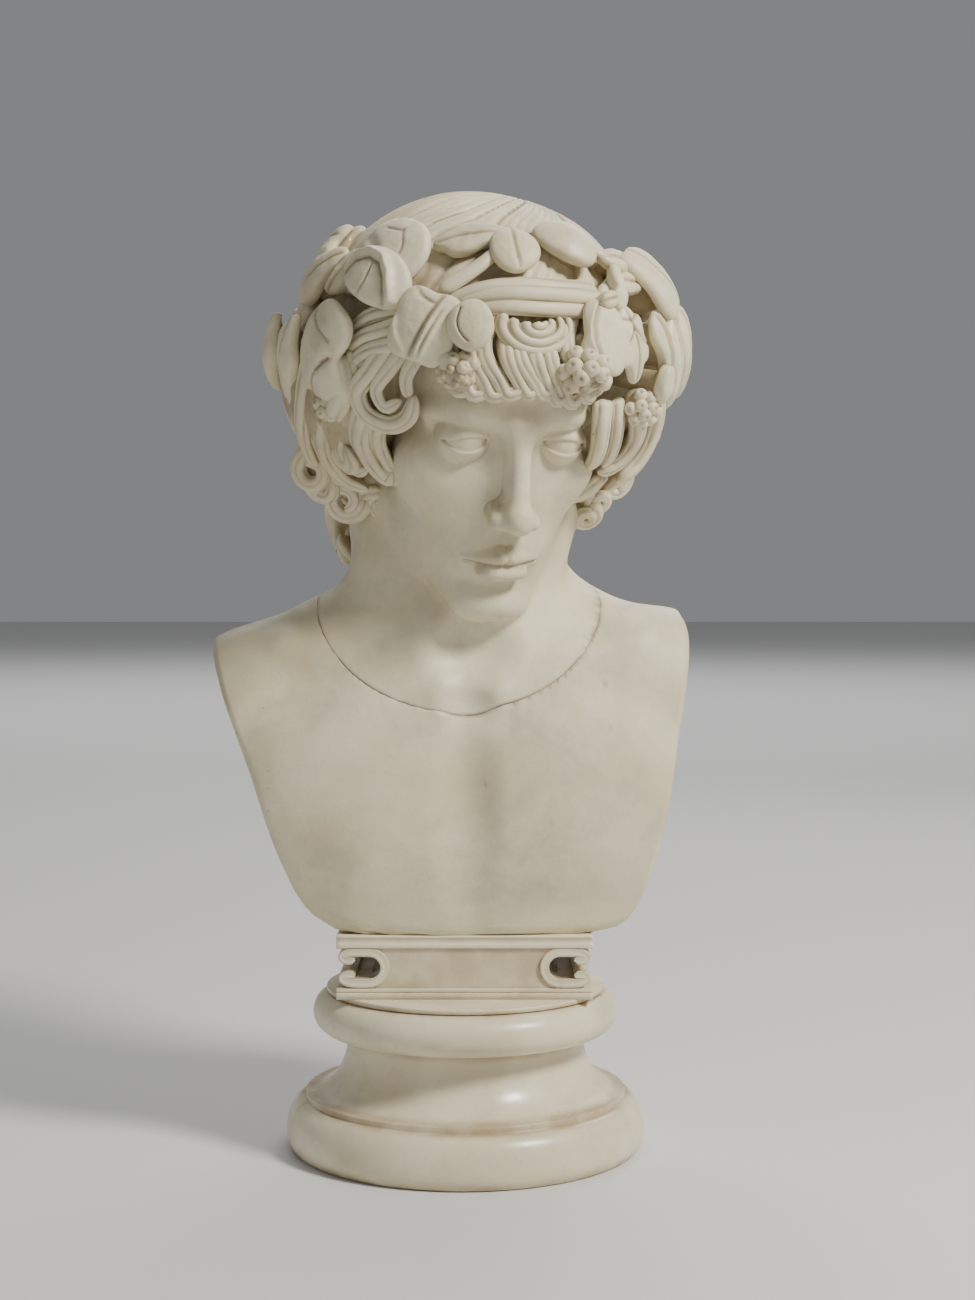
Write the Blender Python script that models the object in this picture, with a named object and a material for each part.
# Marble portrait head with a leafy wreath, its neck set in a separate bust on a turned socle.
# Units are metres, +Z is up, the viewer's front is -Y, and the origin is the centre of the foot.

import math

import bmesh
import bpy
import numpy as np
from mathutils import Matrix, Vector

# Clearance between pieces that touch
JOINT_GAP = 0.0003

# Turned foot of the socle
FOOT_RADIUS = 0.152
FOOT_ROLL_HEIGHT = 0.043
FOOT_FILLET_HEIGHT = 0.005
WAIST_RADIUS = 0.1005
WAIST_HEIGHT = 0.044
COLLAR_FILLET_HEIGHT = 0.006
COLLAR_RADIUS = 0.1295
COLLAR_HEIGHT = 0.035
DISC_RADIUS = 0.118
DISC_HEIGHT = 0.004
ROLL_WIDEST_SHARE = 0.375
FOOT_FILLET_INSET = 0.0163
FOOT_FILLET_STEP = 0.0018
WAIST_FILLET_STEP = 0.0035
TURNED_STEPS = 40

# Tablet between the turned foot and the bust
TABLET_WIDTH = 0.2096
TABLET_DEPTH = 0.150
TABLET_HEIGHT = 0.052
BAND_HEIGHT = 0.0085
PANEL_RECESS = 0.003
GROOVE_WIDTH = 0.0018
KNOB_RADIUS = 0.0066
KNOB_INSET = 0.009
KNOB_STEP = (0.002, 0.0012)
SCROLL_SLIT = 0.002
SCROLL_HOLE_RADIUS = 0.0093
SCROLL_HOLE_INSET = 0.0358
SCROLL_BAND_WIDTH = 0.0078
BAND_GROOVE_SHARE = 0.45
CUTTER_REACH = 0.02

# Bust: its width over the arm cuts sets its free form, drawn in shares of 394
BUST_WIDTH = 0.394
BUST_TURN = math.radians(5.0)
BUST_BACK = 0.078

# Head: chin to crown sets its free form, drawn in shares of 232
HEAD_HEIGHT = 0.3016
HEAD_YAW = math.radians(20.0)
HEAD_PITCH = math.radians(26.0)

# Heights that follow from the sizes above
TABLET_BASE = (FOOT_ROLL_HEIGHT + FOOT_FILLET_HEIGHT + WAIST_HEIGHT + COLLAR_FILLET_HEIGHT
               + COLLAR_HEIGHT + DISC_HEIGHT)
SOCLE_HEIGHT = TABLET_BASE + TABLET_HEIGHT
SEAT_HEIGHT = SOCLE_HEIGHT + JOINT_GAP

# Free-form units: one bust unit and one head unit are about a millimetre at 1 : 1 and 1.3 : 1
BUST_UNIT = BUST_WIDTH / 394.0
HEAD_UNIT = HEAD_HEIGHT / 232.0

# Grids of the free form, before the faces are thinned out
TORSO_VOXEL = 0.0055
HEAD_VOXEL = 0.0034
FIGURE_FACES = 5700
MEND_ROUNDS = 4
SMOOTH_FACTOR = 0.5
TORSO_SMOOTHING = 20
FACE_SMOOTHING = 6
SKIN_SMOOTHING = 1

# Sides of the rods, turns of the rings, and points on the rings of a leaf
ROD_SIDES = 8
RING_TURNS = 16
LEAF_POINTS = 20


def bust_frame():
    """Bust units to metres, measured from the middle of the seat on the tablet."""
    return Matrix.Scale(BUST_UNIT, 4)


def head_frame():
    """Head units to metres: origin between the eyes' level and the middle of the skull."""
    place = Matrix.Translation(Vector(HEAD_CENTRE) * BUST_UNIT)
    turn = Matrix.Rotation(HEAD_YAW, 4, "Z") @ Matrix.Rotation(HEAD_PITCH, 4, "X")
    return place @ turn @ Matrix.Scale(HEAD_UNIT, 4)


# Masses of the chest and neck in bust units above the seat: centre and radii
HEAD_CENTRE = (9.0, -45.0, 441.0)
TORSO_ELLIPSOIDS = [
    ((-8, -2, 112), (240, 88, 190)),
    ((-178, 0, 175), (72, 64, 76)),
    ((160, 0, 191), (72, 64, 78)),
    ((-86, -50, 112), (96, 42, 84)),
    ((82, -50, 114), (96, 42, 84)),
]
# Tapered rods: first end, its radius, second end, its radius
TORSO_RODS = [
    ((-52, 34, 270), 34, (-168, 8, 206), 26),
    ((46, 34, 286), 34, (160, 8, 222), 26),
    ((-14, -70, 192), 9, (-148, -36, 232), 11),
    ((22, -70, 193), 9, (140, -36, 238), 11),
    ((-12, -66, 198), 12, (-72, 0, 345), 17),
    ((20, -66, 198), 12, (76, -4, 345), 17),
]
NECK_RODS = [((-10, 6, 215), 76, (-6, 4, 385), 76)]
NECK_WIDEN = 1.17
# Hollows: the pit of the neck and the groove of the breastbone
PIT_CENTRE = (4, -100, 192)
PIT_RADIUS = 22
THROAT = ((9, -98, 236), (44, 32, 30))
BREAST_GROOVE = ((3, -112, 160), 22, (3, -104, 0), 22)

# Front outline of the bust in bust units above the seat, clockwise from the left arm cut
BUST_OUTLINE = [
    (-218, 262), (-213, 232), (-202, 191), (-181, 133), (-165, 84), (-152, 52), (-143, 33),
    (-130, 16), (-109, 3), (-92, 0), (102, 0), (124, 6), (136, 20), (144, 37), (152, 66),
    (161, 108), (169, 157), (176, 199), (182, 240), (182, 262),
]

# Join between neck and bust: a bowl below, upright sides, then open above the shoulders
JOIN_CENTRE = (-5, -20, 266)
JOIN_RADII = (119, 112, 101)
JOIN_RISE = 38
JOIN_REACH = 420
JOIN_SLOPE = 0.1
JOIN_STEPS = 36
JOIN_BOWL_STEPS = 6

# The outline is carried this far to the front and upwards, clear of the figure
OUTLINE_REACH = 1.2 * BUST_WIDTH

# Face and skull masses in head units: centre and radii
HEAD_ELLIPSOIDS = [
    ((0, 14, 30), (75, 92, 87)),
    ((0, -30, 38), (62, 58, 50)),
    ((-31, -70, 0), (14, 13.5, 13)),
    ((31, -70, 0), (14, 13.5, 13)),
    ((0, -105, -40.5), (9.5, 9.5, 8.5)),
    ((-10, -96, -43), (7.5, 9, 7)),
    ((10, -96, -43), (7.5, 9, 7)),
    ((-42, -50, -24), (23, 26, 21)),
    ((42, -50, -24), (23, 26, 21)),
    ((0, -38, -35), (58, 48, 62)),
    ((0, -68, -73), (32, 25, 25)),
    ((0, -89, -70), (22, 9, 5)),
    ((0, -89, -79), (17, 9, 6)),
    ((0, -81, -103), (19, 15, 14)),
    ((0, -32, -76), (50, 46, 36)),
]
HEAD_RODS = [
    ((-8, -81, 15), 5, (-32, -78.5, 19.5), 5),
    ((8, -81, 15), 5, (32, -78.5, 19.5), 5),
    ((-32, -78.5, 19.5), 5, (-51, -60, 13), 4.5),
    ((32, -78.5, 19.5), 5, (51, -60, 13), 4.5),
    ((0, -78, 8), 7, (0, -90, -38), 12),
    ((0, -83, 12), 6.5, (0, -102, -34), 8),
    ((-53, 0, -60), 15, (-15, -76, -104), 12),
    ((53, 0, -60), 15, (15, -76, -104), 12),
]
EYE_SOCKETS = [((-30, -96, -2), (19, 14, 12)), ((30, -96, -2), (19, 14, 12))]

# Hair masses in head units: centre and radii; the first is the cap that all carving follows
HAIR_CENTRE = np.array((3.0, 18.0, 31.0))
HAIR_RADII = np.array((101.0, 104.0, 91.0))
HAIR_ELLIPSOIDS = [
    (tuple(HAIR_CENTRE), tuple(HAIR_RADII)),
    ((-76, 18, 2), (44, 60, 50)),
    ((80, 16, 6), (44, 60, 54)),
    ((0, 62, -20), (84, 50, 66)),
    ((4, 46, -80), (72, 46, 46)),
    ((90, 24, -54), (20, 30, 40)),
    ((-84, 24, -50), (20, 28, 32)),
]

# Leaves: azimuth and elevation on the cap in degrees, height over it, length, width, turn of
# the tip from straight up (clockwise as seen), lift of the tip, lobes, and depth of the notches
LEAVES = [
    (-62, 39, 17, 50, 50, 15, 3, 0, 0.0),
    (-60, 29, 21, 38, 54, 8, 2, 0, 0.0),
    (-38, 20, 20, 46, 42, 6, 2, 4, 0.08),
    (-24, 23, 25, 30, 27, -8, 2, 0, 0.0),
    (-71, 1, 21, 66, 58, 2, 3, 2, 0.10),
    (-92, 20, 15, 52, 28, 28, -2, 2, 0.05),
    (-78, 27, 13, 36, 20, 20, 0, 2, 0.05),
    (-87, -8, 26, 62, 27, 184, 2, 2, 0.05),
    (-101, -10, 31, 52, 26, 184, 4, 2, 0.05),
    (-34, 55, 8, 44, 23, 62, 2, 2, 0.05),
    (-11, 52, 13, 36, 31, 172, 5, 0, 0.0),
    (22, 56, 12, 42, 31, 140, 5, 0, 0.0),
    (48, 44, 13, 33, 17, 128, 3, 0, 0.0),
    (46, 37, 12, 28, 16, 112, 2, 0, 0.0),
    (60, 33, 24, 60, 42, 160, 9, 2, 0.08),
    (21, 21, 20, 50, 40, 188, 3, 2, 0.06),
    (33, 20, 17, 50, 36, 178, 3, 3, 0.12),
    (42, 5, 29, 25, 15, 6, 2, 0, 0.0),
    (47, 16, 24, 40, 22, 178, 3, 2, 0.05),
    (72, 6, 29, 66, 30, 180, 3, 2, 0.05),
    (58, 8, 25, 60, 24, 178, 3, 2, 0.05),
    (94, 22, 13, 54, 44, 40, 3, 3, 0.10),
    (119, 14, 13, 56, 46, 110, 3, 3, 0.10),
    (145, 24, 11, 54, 44, 60, 3, 3, 0.10),
    (170, 16, 12, 56, 46, 130, 3, 3, 0.10),
    (-164, 26, 11, 54, 44, 300, 3, 3, 0.10),
    (-140, 16, 12, 56, 46, 240, 3, 3, 0.10),
    (-117, 22, 12, 50, 42, 310, 0, 3, 0.10),
]
LEAF_THICKNESS = 7.0
LEAF_SAG = (110.0, 150.0)
LEAF_RINGS = ((0.45, 1.0), (0.8, 1.0), (1.0, 0.45))

# Berry clusters: azimuth, elevation, height over the cap, radius of the cluster
BERRIES = [(-26, 8, 12, 14), (17, 10, 12, 15), (39, -3, 16, 14), (-70, -20, 14, 13)]
# Shares of a cluster's radius: its core, one berry, the reach of the outer ring and its lift,
# and the reach and lift of the three on top
BERRY_CORE = 0.8
BERRY_SIZE = 0.42
BERRY_RING = (0.72, 0.14)
BERRY_CROWN = (0.3, 0.55)

# Stems and bands: stations of azimuth, elevation and height, with first and last radius
STEMS = [
    ([(-12, 59, 7), (-24, 46, 9), (-38, 32, 10)], 3.5, 5),
    ([(38, 54, 8), (42, 43, 12), (26, 35, 10)], 4, 5),
    ([(-36, 29, 5), (-24, 36, 9), (-8, 39.5, 9), (10, 39, 9), (28, 38, 7)], 5, 6.5),
    ([(-32, 30, 6), (-18, 35, 10), (-2, 36.5, 11), (14, 36, 11), (30, 34, 8)], 5, 6.5),
    ([(-28, 29, 5), (-14, 31.5, 9), (0, 32, 10), (14, 32, 9), (26, 31, 6)], 5, 6),
    ([(-160, 22, 0), (-110, 20, 6), (-64, 26, 6)], 7, 7),
    ([(60, 24, 6), (100, 20, 4), (160, 22, 0)], 7, 7),
    ([(158, 22, 0), (185, 23, 0), (212, 22, 0)], 7, 7),
]

# Locks of hair: stations of azimuth, elevation and height, with first and last radius
LOCKS = [
    ([(-10, 28, 3), (2, 22, 9), (10, 26, 9), (6, 32, 5)], 7, 4),
    ([(-44, 24, 4), (-54, 19, 8), (-62, 13, 8), (-68, 5, 4)], 7, 5),
    ([(-42, 15, 4), (-51, 10, 8), (-59, 4, 8), (-65, -5, 5)], 7, 5),
    ([(-50, 13, 5), (-54, 1, 9), (-58, -8, 11), (-54, -15, 12), (-45, -16, 12), (-39, -11, 11)],
     8, 6),
    ([(-56, -14, 8), (-58, -26, 13), (-55, -36, 15), (-50, -42, 15)], 9, 7),
    ([(-72, -20, 18), (-73, -34, 26), (-69, -44, 27), (-61, -48, 24)], 9, 7),
    ([(-78, -18, 24), (-80, -30, 30), (-79, -40, 34)], 9, 7),
    ([(-90, -6, 18), (-94, -22, 24), (-92, -36, 28)], 11, 8),
    ([(-84, -46, 26), (-74, -56, 26), (-62, -56, 18)], 11, 9),
    ([(26, 0, 6), (26, -10, 11), (29, -21, 13), (33, -29, 11)], 8, 6),
    ([(32, 0, 8), (33, -10, 13), (36, -20, 15), (40, -29, 14)], 7, 6),
    ([(42, -6, 14), (46, -17, 18), (44, -27, 18), (38, -31, 15)], 9, 7),
    ([(52, -2, 16), (56, -14, 22), (55, -26, 26), (50, -34, 26)], 9, 7),
    ([(66, -2, 14), (68, -16, 20), (66, -30, 26), (60, -42, 28)], 10, 8),
    ([(84, 2, 8), (80, -18, 14), (80, -36, 20), (68, -50, 22)], 11, 8),
    ([(100, -44, 26), (95, -57, 48), (90, -65, 70)], 11, 9),
    ([(92, -46, 26), (87, -58, 44), (82, -66, 62)], 10, 8),
]
# Rows of repeated locks: first and last azimuth, count, top and bottom elevation, top and bottom
# height, radius, sideways sweep of the lower end
LOCK_ROWS = [
    (-40, 26, 10, 27, 3, 6, 6, 6.5, 4),
    (78, 282, 15, 12, -16, 8, 12, 12, 8),
    (84, 276, 14, -12, -38, 14, 20, 12, -8),
    (100, 262, 10, -34, -54, 18, 26, 12, 8),
    (112, 238, 8, -50, -66, 26, 54, 12, -7),
]
# Strands that run from the whorl on the crown down to the wreath
CROWN_STRANDS = 20
CROWN_TOP = 80
CROWN_FOOT = 38
CROWN_SWEEP = 24

# Curled rings of hair in head units: centre, ring radius, rod radius; their flat sides look ahead
RINGS = [
    ((-99, 2, -53), 13.5, 6.5),
    ((-76, 0, -71), 13.5, 6.5),
    ((121, 2, -22), 12.0, 6.0),
    ((111, -2, -38), 9.0, 6.0),
    ((106, 0, -55), 10.0, 6.5),
    ((94, -6, -66), 8.0, 5.5),
    ((86, -8, -76), 8.5, 6.0),
    ((100, 14, -72), 9.0, 6.5),
]
RING_SIDE = np.array((0.940, -0.342, 0.0))
RING_UP = np.array((0.141, 0.387, 0.911))


def clear_scene():
    for old in list(bpy.data.objects):
        bpy.data.objects.remove(old, do_unlink=True)


def make_material(name, colour, roughness):
    material = bpy.data.materials.new(name)
    material.use_nodes = True
    shader = material.node_tree.nodes["Principled BSDF"]
    shader.inputs["Base Color"].default_value = (*colour, 1.0)
    shader.inputs["Roughness"].default_value = roughness
    shader.inputs["Metallic"].default_value = 0.0
    return material


def link_object(name, mesh):
    item = bpy.data.objects.new(name, mesh)
    bpy.context.scene.collection.objects.link(item)
    return item


def mesh_from(bm, name):
    bmesh.ops.recalc_face_normals(bm, faces=bm.faces)
    mesh = bpy.data.meshes.new(name)
    bm.to_mesh(mesh)
    bm.free()
    return mesh


def evaluated_mesh(item, name):
    """The mesh of an object with its modifiers applied; the object itself is removed."""
    depsgraph = bpy.context.evaluated_depsgraph_get()
    mesh = bpy.data.meshes.new_from_object(item.evaluated_get(depsgraph))
    mesh.name = name
    bpy.data.objects.remove(item, do_unlink=True)
    return mesh


def add_ellipsoid(bm, frame, centre, radii, detail=3):
    shape = frame @ Matrix.Translation(centre) @ Matrix.Diagonal((*radii, 1.0))
    bmesh.ops.create_icosphere(bm, subdivisions=detail, radius=1.0, matrix=shape)


def add_rod(bm, frame, first, first_radius, second, second_radius, widen=1.0):
    """A rod with round ends: the hull round two spheres, stretched across by widen."""
    rod = bmesh.new()
    for centre, radius in ((first, first_radius), (second, second_radius)):
        place = Matrix.Translation(centre) @ Matrix.Diagonal((widen, 1.0, 1.0, 1.0))
        bmesh.ops.create_icosphere(rod, subdivisions=3, radius=radius, matrix=place)
    hull = bmesh.ops.convex_hull(rod, input=rod.verts)
    spare = {item for key in ("geom_interior", "geom_unused") for item in hull[key]
             if isinstance(item, bmesh.types.BMVert)}
    bmesh.ops.delete(rod, geom=list(spare), context="VERTS")
    merge_into(bm, rod, frame)


def merge_into(bm, piece, frame):
    """Add one closed piece to a bmesh through a frame."""
    bmesh.ops.recalc_face_normals(piece, faces=piece.faces)
    mesh = bpy.data.meshes.new("piece")
    piece.to_mesh(mesh)
    piece.free()
    mesh.transform(frame)
    bm.from_mesh(mesh)
    bpy.data.meshes.remove(mesh)


def on_cap(azimuth, elevation, height):
    """Point over the hair cap: the cap's ellipsoid grown by the height."""
    a = math.radians(azimuth)
    e = math.radians(elevation)
    toward = np.array((math.sin(a) * math.cos(e), -math.cos(a) * math.cos(e), math.sin(e)))
    return HAIR_CENTRE + (HAIR_RADII + height) * toward


def cap_axes(azimuth, elevation):
    """Outward, sideways and upward directions on the hair cap."""
    point = on_cap(azimuth, elevation, 0.0)
    out = (point - HAIR_CENTRE) / HAIR_RADII ** 2
    out = out / np.linalg.norm(out)
    side = np.array((math.cos(math.radians(azimuth)), math.sin(math.radians(azimuth)), 0.0))
    side = side - out * side.dot(out)
    side = side / np.linalg.norm(side)
    up = np.cross(side, out)
    if up[2] < 0:
        up = -up
    return out, side, up


def add_leaf(bm, frame, leaf):
    """A cupped plate of even thickness with a lobed edge, built in rings round its middle."""
    azimuth, elevation, height, length, width, turn, lift, lobes, notch = leaf
    out, side, up = cap_axes(azimuth, elevation)
    centre = on_cap(azimuth, elevation, height)
    t = math.radians(turn)
    tip = up * math.cos(t) + side * math.sin(t)
    across = side * math.cos(t) - up * math.sin(t)
    piece = bmesh.new()
    around = LEAF_POINTS
    layers = []
    for sign in (1.0, -1.0):
        middle = piece.verts.new(centre + out * sign * LEAF_THICKNESS / 2)
        layer = [[middle]]
        for share, fullness in LEAF_RINGS:
            ring = []
            for step in range(around):
                angle = 2 * math.pi * step / around
                reach = 1.0 - notch * (1.0 - math.cos(lobes * angle)) if lobes else 1.0
                x = math.sin(angle) * width / 2 * share * reach
                y = math.cos(angle) * length / 2 * share * reach
                sag = lift * y / length - x * x / LEAF_SAG[0] - y * y / LEAF_SAG[1]
                thick = LEAF_THICKNESS / 2 * fullness
                ring.append(piece.verts.new(centre + across * x + tip * y
                                            + out * (sag + sign * thick)))
            layer.append(ring)
        layers.append(layer)
    for layer in layers:
        first = layer[1]
        for i in range(around):
            piece.faces.new((layer[0][0], first[i], first[(i + 1) % around]))
        for inner, outer in zip(layer[1:], layer[2:]):
            for i in range(around):
                j = (i + 1) % around
                piece.faces.new((inner[i], outer[i], outer[j], inner[j]))
    top, under = layers[0][-1], layers[1][-1]
    for i in range(around):
        j = (i + 1) % around
        piece.faces.new((top[i], under[i], under[j], top[j]))
    merge_into(bm, piece, frame)


def smooth_path(stations, steps):
    """Points on a Catmull-Rom curve through the stations."""
    points = [np.array(s, dtype=float) for s in stations]
    points = [2 * points[0] - points[1]] + points + [2 * points[-1] - points[-2]]
    path = []
    for i in range(1, len(points) - 2):
        a, b, c, d = points[i - 1:i + 3]
        for step in range(steps):
            t = step / steps
            path.append(0.5 * (2 * b + (c - a) * t + (2 * a - 5 * b + 4 * c - d) * t * t
                               + (3 * b - a - 3 * c + d) * t ** 3))
    path.append(points[-2])
    return path


def add_lock(bm, frame, stations, first_radius, last_radius):
    """A rod of changing thickness along stations of azimuth, elevation and height."""
    path = [on_cap(*p) for p in smooth_path(stations, 4)]
    add_tube(bm, frame, path, first_radius, last_radius)


def add_tube(bm, frame, path, first_radius, last_radius):
    piece = bmesh.new()
    sides = ROD_SIDES
    rings = []
    count = len(path)
    for i, point in enumerate(path):
        ahead = path[min(i + 1, count - 1)] - path[max(i - 1, 0)]
        ahead = ahead / np.linalg.norm(ahead)
        out = point - HAIR_CENTRE
        out = out - ahead * out.dot(ahead)
        out = out / np.linalg.norm(out)
        side = np.cross(ahead, out)
        radius = first_radius + (last_radius - first_radius) * i / (count - 1)
        ring = []
        for k in range(sides):
            angle = 2 * math.pi * k / sides
            ring.append(piece.verts.new(point + radius * (out * math.cos(angle)
                                                          + side * math.sin(angle))))
        rings.append(ring)
    for ring, following in zip(rings, rings[1:]):
        for k in range(sides):
            j = (k + 1) % sides
            piece.faces.new((ring[k], ring[j], following[j], following[k]))
    piece.faces.new(rings[0][::-1])
    piece.faces.new(rings[-1])
    merge_into(bm, piece, frame)


def add_ring(bm, frame, centre, ring_radius, rod_radius):
    """A curled lock: a closed ring whose flat side looks towards the viewer."""
    out = np.cross(RING_SIDE, RING_UP)
    piece = bmesh.new()
    turns = RING_TURNS
    sides = ROD_SIDES
    rings = []
    for i in range(turns):
        a = 2 * math.pi * i / turns
        radial = RING_SIDE * math.cos(a) + RING_UP * math.sin(a)
        ring = []
        for k in range(sides):
            b = 2 * math.pi * k / sides
            reach = ring_radius + rod_radius * math.cos(b)
            ring.append(piece.verts.new(np.array(centre) + radial * reach
                                        + out * rod_radius * math.sin(b)))
        rings.append(ring)
    for i in range(turns):
        ring, following = rings[i], rings[(i + 1) % turns]
        for k in range(sides):
            j = (k + 1) % sides
            piece.faces.new((ring[k], ring[j], following[j], following[k]))
    merge_into(bm, piece, frame)


def add_berries(bm, frame, azimuth, elevation, height, radius):
    """A cluster: one berry in the middle and a ring of berries round it."""
    out, side, up = cap_axes(azimuth, elevation)
    centre = on_cap(azimuth, elevation, height)
    add_ellipsoid(bm, frame, tuple(centre), (radius * BERRY_CORE,) * 3, 2)
    for around, (reach, lift) in ((7, BERRY_RING), (3, BERRY_CROWN)):
        for i in range(around):
            a = 2 * math.pi * i / around
            away = (side * math.cos(a) + up * math.sin(a)) * reach + out * lift
            place = centre + away * radius
            add_ellipsoid(bm, frame, tuple(place), (radius * BERRY_SIZE,) * 3, 2)


def add_hair(bm, frame):
    for centre, radii in HAIR_ELLIPSOIDS:
        add_ellipsoid(bm, frame, centre, radii, 4)
    for stations, first_radius, last_radius in LOCKS + STEMS:
        add_lock(bm, frame, stations, first_radius, last_radius)
    for first, last, count, top, bottom, high, low, radius, sweep in LOCK_ROWS:
        for i in range(count):
            azimuth = first + (last - first) * i / (count - 1)
            stations = [(azimuth, top, high),
                        (azimuth - sweep / 2, (top + bottom) / 2, (high + low) / 2 + 2),
                        (azimuth + sweep, bottom, low)]
            add_lock(bm, frame, stations, radius, radius * 0.7)
    for i in range(CROWN_STRANDS):
        azimuth = 360.0 * i / CROWN_STRANDS
        stations = [(azimuth - CROWN_SWEEP, CROWN_TOP, -3), (azimuth, 60, -2),
                    (azimuth + CROWN_SWEEP / 3, CROWN_FOOT, -2)]
        add_lock(bm, frame, stations, 5, 7)
    for ring in RINGS:
        add_ring(bm, frame, *ring)


def remeshed(bm, name, voxel, smoothing):
    """The outer skin of overlapping masses, with its creases softened."""
    item = link_object(name, mesh_from(bm, name))
    skin = item.modifiers.new("skin", "REMESH")
    skin.mode = "VOXEL"
    skin.voxel_size = voxel
    if smoothing:
        soften(item, smoothing)
    return evaluated_mesh(item, name)


def soften(item, rounds):
    soft = item.modifiers.new("soft", "SMOOTH")
    soft.factor = SMOOTH_FACTOR
    soft.iterations = rounds


def mend(mesh):
    """Cut out the few points where the skin touches itself and close the small holes again."""
    bm = bmesh.new()
    bm.from_mesh(mesh)
    for attempt in range(MEND_ROUNDS):
        bad = {vert for vert in bm.verts if not vert.is_manifold}
        bad |= {vert for edge in bm.edges if not edge.is_manifold for vert in edge.verts}
        if not bad:
            break
        bmesh.ops.delete(bm, geom=list(bad), context="VERTS")
        rims = [edge for edge in bm.edges if edge.is_boundary]
        patches = bmesh.ops.holes_fill(bm, edges=rims, sides=0)["faces"]
        bmesh.ops.poke(bm, faces=[face for face in patches if len(face.verts) > 3])
    bm.to_mesh(mesh)
    bm.free()
    return mesh


def torso_mesh():
    """Chest, shoulders and neck as one soft skin."""
    frame = bust_frame()
    bm = bmesh.new()
    for centre, radii in TORSO_ELLIPSOIDS:
        add_ellipsoid(bm, frame, centre, radii, 5)
    for rod in TORSO_RODS:
        add_rod(bm, frame, *rod)
    for rod in NECK_RODS:
        add_rod(bm, frame, *rod, widen=NECK_WIDEN)
    body = link_object("torso_masses", remeshed(bm, "torso_masses", TORSO_VOXEL, 0))
    hollow = bmesh.new()
    add_ellipsoid(hollow, frame, PIT_CENTRE, (PIT_RADIUS,) * 3)
    add_ellipsoid(hollow, frame, *THROAT)
    add_rod(hollow, frame, *BREAST_GROOVE)
    cutter = link_object("hollows", remeshed(hollow, "hollows", TORSO_VOXEL, 0))
    cut(body, cutter, "DIFFERENCE")
    soften(body, TORSO_SMOOTHING)
    mesh = evaluated_mesh(body, "torso")
    bpy.data.objects.remove(cutter, do_unlink=True)
    return mesh


def head_masses(bm, frame):
    for centre, radii in HEAD_ELLIPSOIDS:
        add_ellipsoid(bm, frame, centre, radii)
    for rod in HEAD_RODS:
        add_rod(bm, frame, *rod)


def figure_mesh():
    """Head, neck and chest as one skin, thinned to the wanted number of faces."""
    frame = head_frame()
    face = bmesh.new()
    head_masses(face, frame)
    head = link_object("face_masses", remeshed(face, "face_masses", HEAD_VOXEL, 0))
    sockets = bmesh.new()
    for centre, radii in EYE_SOCKETS:
        add_ellipsoid(sockets, frame, centre, radii)
    cutter = link_object("eye_sockets", mesh_from(sockets, "eye_sockets"))
    cut(head, cutter, "DIFFERENCE")
    soften(head, FACE_SMOOTHING)
    face_skin = evaluated_mesh(head, "face_skin")
    bpy.data.objects.remove(cutter, do_unlink=True)
    whole = bmesh.new()
    whole.from_mesh(face_skin)
    whole.from_mesh(torso_mesh())
    for centre, radii in HEAD_ELLIPSOIDS[2:4]:
        add_ellipsoid(whole, frame, centre, radii)
    add_hair(whole, frame)
    for leaf in LEAVES:
        add_leaf(whole, frame, leaf)
    for cluster in BERRIES:
        add_berries(whole, frame, *cluster)
    item = link_object("figure", mend(remeshed(whole, "figure", HEAD_VOXEL, SKIN_SMOOTHING)))
    thin = item.modifiers.new("thin", "DECIMATE")
    faces = sum(len(p.vertices) - 2 for p in item.data.polygons)
    thin.ratio = FIGURE_FACES / faces
    return mend(evaluated_mesh(item, "figure"))


def cut(item, cutter, operation):
    """Boolean with the exact solver; the cutter is kept out of the picture."""
    cutter.hide_render = True
    cutter.display_type = "WIRE"
    step = item.modifiers.new(operation.lower(), "BOOLEAN")
    step.operation = operation
    step.solver = "EXACT"
    step.object = cutter


def join_mesh(grow):
    """Solid that holds everything on the head's side of the join, grown by the clearance."""
    centre = Vector(JOIN_CENTRE) * BUST_UNIT
    rx, ry, rz = (r * BUST_UNIT for r in JOIN_RADII)
    profile = []
    for i in range(JOIN_BOWL_STEPS + 1):
        t = math.pi / 2 * (1 - i / JOIN_BOWL_STEPS)
        profile.append((rx * math.cos(t) + grow * math.cos(t), -(rz + grow) * math.sin(t)))
    rise = JOIN_RISE * BUST_UNIT
    reach = JOIN_REACH * BUST_UNIT
    profile.append((rx + grow, rise))
    profile.append((reach, rise + JOIN_SLOPE * reach))
    profile.append((reach, rise + reach))
    bm = bmesh.new()
    steps = JOIN_STEPS
    rings = []
    for radius, z in profile[1:]:
        ring = []
        for k in range(steps):
            a = 2 * math.pi * k / steps
            x = radius * math.cos(a)
            y = radius * math.sin(a) * ry / rx
            ring.append(bm.verts.new((centre.x + x, centre.y + y, centre.z + z)))
        rings.append(ring)
    pole = bm.verts.new((centre.x, centre.y, centre.z + profile[0][1]))
    for k in range(steps):
        bm.faces.new((pole, rings[0][(k + 1) % steps], rings[0][k]))
    for ring, following in zip(rings, rings[1:]):
        for k in range(steps):
            j = (k + 1) % steps
            bm.faces.new((ring[k], ring[j], following[j], following[k]))
    bm.faces.new(rings[-1])
    return mesh_from(bm, "join")


def outline_prism():
    """Front outline of the bust carried from front to back, turned with the chest."""
    points = [(x * BUST_UNIT, z * BUST_UNIT) for x, z in BUST_OUTLINE]
    points = points + [(points[-1][0], OUTLINE_REACH), (points[0][0], OUTLINE_REACH)]
    mesh = prism_mesh(points, -OUTLINE_REACH, BUST_BACK, "outline")
    mesh.transform(Matrix.Rotation(BUST_TURN, 4, "Z"))
    return mesh


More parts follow.
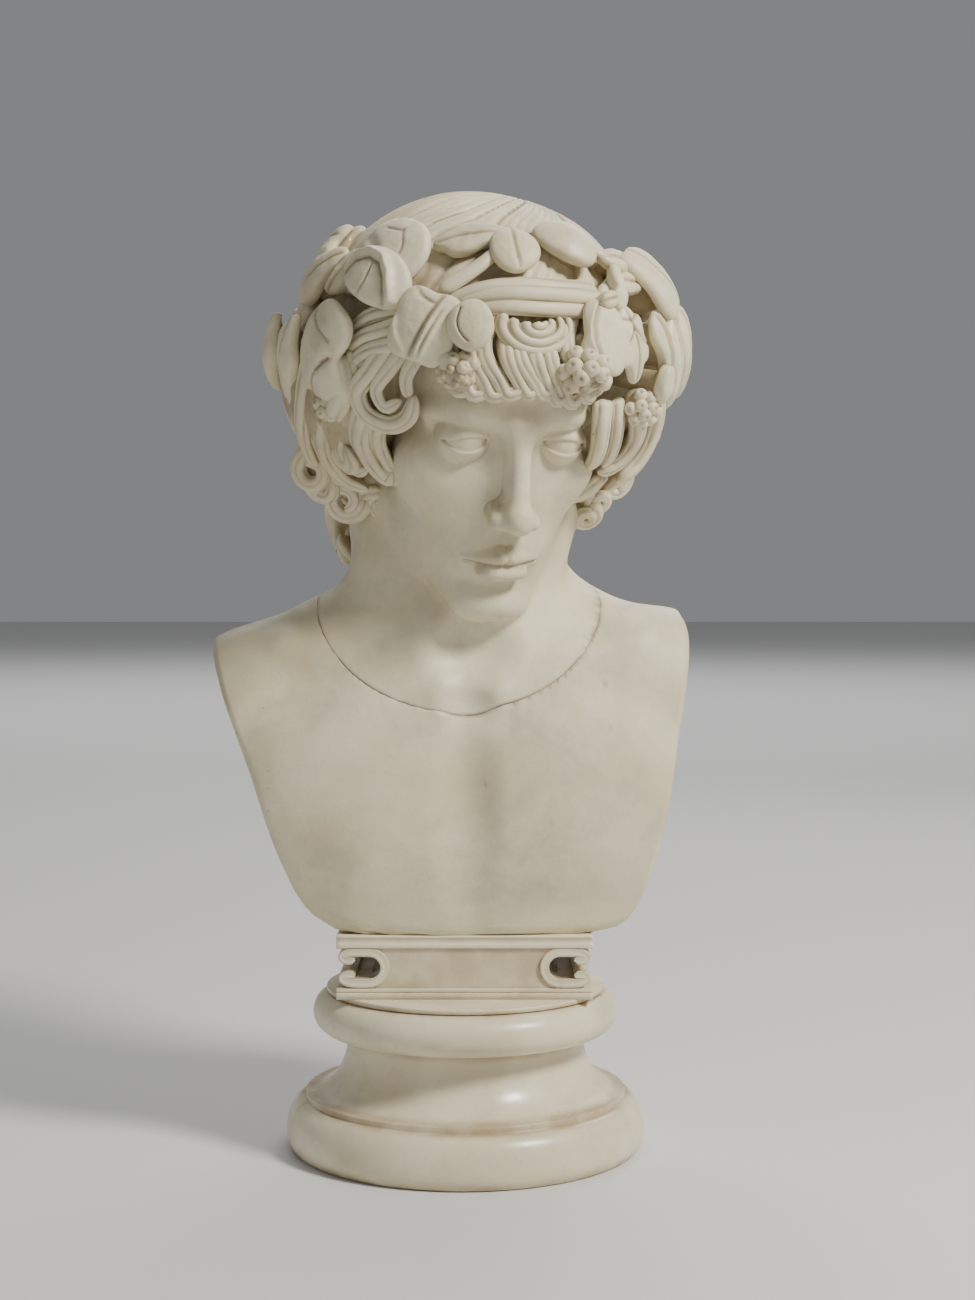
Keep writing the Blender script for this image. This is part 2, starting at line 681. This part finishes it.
def finish(item, name, material, smooth_angle):
    """Apply the modifiers, drop loose scraps, shade smooth and give the material."""
    mesh = mend(evaluated_mesh(item, name))
    bm = bmesh.new()
    bm.from_mesh(mesh)
    bmesh.ops.triangulate(bm, faces=bm.faces)
    keep_largest(bm)
    bm.to_mesh(mesh)
    bm.free()
    mesh.materials.clear()
    mesh.materials.append(material)
    mesh.shade_smooth()
    mesh.set_sharp_from_angle(angle=math.radians(smooth_angle))
    return link_object(name, mesh)


def keep_largest(bm):
    """Keep the connected body with the most vertices."""
    left = set(bm.verts)
    bodies = []
    while left:
        seed = left.pop()
        body = {seed}
        queue = [seed]
        while queue:
            vert = queue.pop()
            for edge in vert.link_edges:
                other = edge.other_vert(vert)
                if other in left:
                    left.remove(other)
                    body.add(other)
                    queue.append(other)
        bodies.append(body)
    bodies.sort(key=len)
    spare = [vert for body in bodies[:-1] for vert in body]
    bmesh.ops.delete(bm, geom=spare, context="VERTS")


def build_figure(marble):
    figure = figure_mesh()
    lift = Matrix.Translation((0, 0, SEAT_HEIGHT))
    head = link_object("head_rough", figure)
    inner = link_object("join_inner", join_mesh(0.0))
    cut(head, inner, "INTERSECT")
    bust = link_object("bust_rough", figure.copy())
    outer = link_object("join_outer", join_mesh(JOINT_GAP))
    prism = link_object("bust_outline", outline_prism())
    cut(bust, outer, "DIFFERENCE")
    cut(bust, prism, "INTERSECT")
    head_item = finish(head, "head", marble, 60)
    bust_item = finish(bust, "bust", marble, 40)
    for cutter in (inner, outer, prism):
        bpy.data.objects.remove(cutter, do_unlink=True)
    for item in (head_item, bust_item):
        item.matrix_world = lift


def arc(centre, radii, start, end, steps):
    """Points on an elliptical arc, angles in degrees from +X towards +Z."""
    points = []
    for i in range(steps + 1):
        a = math.radians(start + (end - start) * i / steps)
        points.append((centre[0] + radii[0] * math.cos(a), centre[1] + radii[1] * math.sin(a)))
    return points


def turned_profile():
    """Outer side of the foot from the top down, as radius and height."""
    foot_fillet = FOOT_ROLL_HEIGHT + FOOT_FILLET_HEIGHT
    waist_top = foot_fillet + WAIST_HEIGHT
    collar_base = waist_top + COLLAR_FILLET_HEIGHT
    collar_top = collar_base + COLLAR_HEIGHT
    half_collar = COLLAR_HEIGHT / 2
    roll_half = FOOT_ROLL_HEIGHT * ROLL_WIDEST_SHARE
    foot_fillet_radius = FOOT_RADIUS - FOOT_FILLET_INSET
    profile = [(DISC_RADIUS, TABLET_BASE), (DISC_RADIUS, collar_top)]
    profile += arc((COLLAR_RADIUS - half_collar, collar_base + half_collar),
                   (half_collar, half_collar), 84, -84, 7)
    fillet_radius = WAIST_RADIUS + WAIST_FILLET_STEP
    profile += [(fillet_radius, collar_base), (fillet_radius, waist_top)]
    hollow = foot_fillet_radius - FOOT_FILLET_STEP - WAIST_RADIUS
    for i in range(6):
        t = math.pi / 2 * i / 5
        profile.append((WAIST_RADIUS + hollow * (1 - math.cos(t)),
                        waist_top - WAIST_HEIGHT * math.sin(t)))
    profile += [(foot_fillet_radius, foot_fillet), (foot_fillet_radius, FOOT_ROLL_HEIGHT)]
    roll = FOOT_RADIUS - foot_fillet_radius
    profile += arc((foot_fillet_radius, roll_half), (roll, FOOT_ROLL_HEIGHT - roll_half), 84, 0, 5)
    profile += arc((FOOT_RADIUS - roll / 2, roll_half), (roll / 2, roll_half), -20, -90, 3)
    return profile


def turned_mesh():
    profile = turned_profile()
    bm = bmesh.new()
    line = [(0.0, TABLET_BASE)] + profile + [(0.0, 0.0)]
    verts = [bm.verts.new((r, 0, z)) for r, z in line]
    for a, b in zip(verts, verts[1:]):
        bm.edges.new((a, b))
    mesh = bpy.data.meshes.new("turned_profile")
    bm.to_mesh(mesh)
    bm.free()
    item = link_object("turned_foot", mesh)
    screw = item.modifiers.new("turn", "SCREW")
    screw.steps = TURNED_STEPS
    screw.render_steps = TURNED_STEPS
    screw.use_merge_vertices = True
    screw.merge_threshold = 0.00001
    return evaluated_mesh(item, "turned_foot")


def tablet_outline():
    """Front outline of the tablet: plain top and bottom bands, curled knobs at each end."""
    half = TABLET_WIDTH / 2
    top = TABLET_HEIGHT
    middle = top / 2
    knob_x = half - KNOB_INSET
    knob_z = KNOB_RADIUS + SCROLL_SLIT / 2
    hole_x = half - SCROLL_HOLE_INSET + SCROLL_HOLE_RADIUS
    hole = (SCROLL_HOLE_RADIUS, SCROLL_HOLE_RADIUS)
    step_x = knob_x + KNOB_STEP[0]
    step_z = BAND_HEIGHT + KNOB_STEP[1]
    right = [(half, top), (half, top - BAND_HEIGHT), (step_x, top - step_z)]
    right += arc((knob_x, middle + knob_z), (KNOB_RADIUS, KNOB_RADIUS), 62, -150, 9)
    right += arc((hole_x, middle), hole, 60, 300, 12)
    right += arc((knob_x, middle - knob_z), (KNOB_RADIUS, KNOB_RADIUS), 150, -62, 9)
    right += [(step_x, step_z), (half, BAND_HEIGHT), (half, 0)]
    left = [(-x, z) for x, z in right[::-1]]
    return right + left


def prism_mesh(points, near, far, name):
    bm = bmesh.new()
    front = [bm.verts.new((x, near, z)) for x, z in points]
    back = [bm.verts.new((x, far, z)) for x, z in points]
    bm.faces.new(front)
    bm.faces.new(back[::-1])
    for k in range(len(points)):
        j = (k + 1) % len(points)
        bm.faces.new((front[k], back[k], back[j], front[j]))
    return mesh_from(bm, name)


def panel_outline():
    """Sunk panel between the two scroll bands, with rounded ends that follow them."""
    bow = SCROLL_HOLE_RADIUS + SCROLL_BAND_WIDTH
    edge = TABLET_WIDTH / 2 - SCROLL_HOLE_INSET - SCROLL_BAND_WIDTH
    right = arc((edge + bow, TABLET_HEIGHT / 2), (bow, TABLET_HEIGHT / 2 - BAND_HEIGHT), 100, 260, 10)
    left = [(-x, z) for x, z in right]
    return right[::-1] + left


def build_socle(marble):
    foot = link_object("foot", turned_mesh())
    tablet = link_object("tablet", prism_mesh(tablet_outline(), -TABLET_DEPTH / 2,
                                              TABLET_DEPTH / 2, "tablet"))
    tablet.data.transform(Matrix.Translation((0, 0, TABLET_BASE)))
    cutters = []
    reach = CUTTER_REACH
    for side in (-1, 1):
        face = side * TABLET_DEPTH / 2
        near, far = sorted((face - side * PANEL_RECESS, face + side * reach))
        panel = link_object("panel", prism_mesh(panel_outline(), near, far, "panel"))
        cutters.append(panel)
        groove_height = BAND_HEIGHT * BAND_GROOVE_SHARE
        for height in (groove_height, TABLET_HEIGHT - groove_height):
            low, high = height - GROOVE_WIDTH / 2, height + GROOVE_WIDTH / 2
            half = TABLET_WIDTH / 2 + reach
            near, far = sorted((face - side * GROOVE_WIDTH, face + side * reach))
            line = [(half, high), (half, low), (-half, low), (-half, high)]
            cutters.append(link_object("groove", prism_mesh(line, near, far, "groove")))
    for cutter in cutters:
        cutter.data.transform(Matrix.Translation((0, 0, TABLET_BASE)))
        cut(tablet, cutter, "DIFFERENCE")
    shaped = link_object("tablet_cut", evaluated_mesh(tablet, "tablet_cut"))
    cut(foot, shaped, "UNION")
    socle = finish(foot, "socle", marble, 30)
    for cutter in cutters + [shaped]:
        bpy.data.objects.remove(cutter, do_unlink=True)
    return socle


def main():
    clear_scene()
    head_marble = make_material("figure_marble", (0.72, 0.67, 0.55), 0.55)
    socle_marble = make_material("socle_marble", (0.78, 0.74, 0.64), 0.35)
    build_socle(socle_marble)
    build_figure(head_marble)


main()
